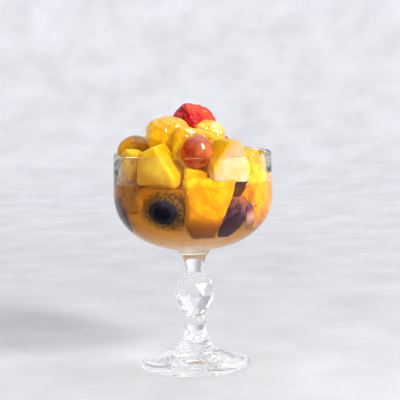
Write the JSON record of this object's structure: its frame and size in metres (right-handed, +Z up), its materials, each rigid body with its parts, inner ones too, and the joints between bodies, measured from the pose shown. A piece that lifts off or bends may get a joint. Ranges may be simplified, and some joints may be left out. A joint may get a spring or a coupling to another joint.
{
  "type": "fruit cup",
  "caption": "Stemmed coupe glass with a cut ball knob, filled with amber juice and heaped with chunks of mixed fruit.",
  "frame": {"origin": "centre of the foot's underside, on the surface that the glass stands on", "axes": "+Z up the stem, -Y towards the side shown in the picture, +X to its right"},
  "size_m": [0.096, 0.096, 0.1599],
  "materials": {
    "glass": "clear pressed glass, polished, with a cut knob",
    "juice": "cloudy amber syrup and fruit juice",
    "mango": "wet orange-yellow mango flesh with faint fibres",
    "peach": "wet golden peach flesh, soft and lumpy",
    "pear": "pale yellow translucent pear flesh",
    "apple": "cream apple flesh, satin, a little wet",
    "nectarine": "orange-red flesh, deep red round the stone, purple skin",
    "plum": "dark purple skin with bloom, amber-pink flesh",
    "red_grape": "glossy red-brown translucent skin",
    "green_grape": "glossy golden-green translucent skin",
    "dark_grape": "blue-black skin with pale bloom",
    "melon": "pale green melon flesh"
  },
  "bodies": {
    "root": {"glass": "glass", "red_grape": "red_grape", "golden_grape": "green_grape", "apple_chunk": "apple", "pear_chunk": "pear", "mango_lump": "peach", "peach_lump": "peach", "nectarine_wedge": "nectarine", "mango_stick": "mango", "mango_wedge_front": "mango", "mango_slab": "mango", "plum_wedge": "plum", "plum_slice": "plum", "mango_chunk_right": "mango", "dark_grape": "dark_grape", "mango_left": "mango", "plum_crescent": "plum", "mango_sliver": "mango", "plum_behind": "plum", "plum_gap": "plum", "mango_chip": "mango", "melon_chunk": "melon", "mango_centre": "peach", "mango_back_left": "mango", "apple_back": "apple", "peach_back": "peach", "red_grape_back": "red_grape", "green_grape_back": "green_grape", "mango_low_back": "mango", "plum_low_back": "plum", "pear_low_back": "pear", "peach_low_left": "peach", "mango_low_right": "mango", "mango_under_right": "mango", "peach_under_back": "peach", "mango_under_left": "mango", "juice": "juice"}
  },
  "joints": []
}
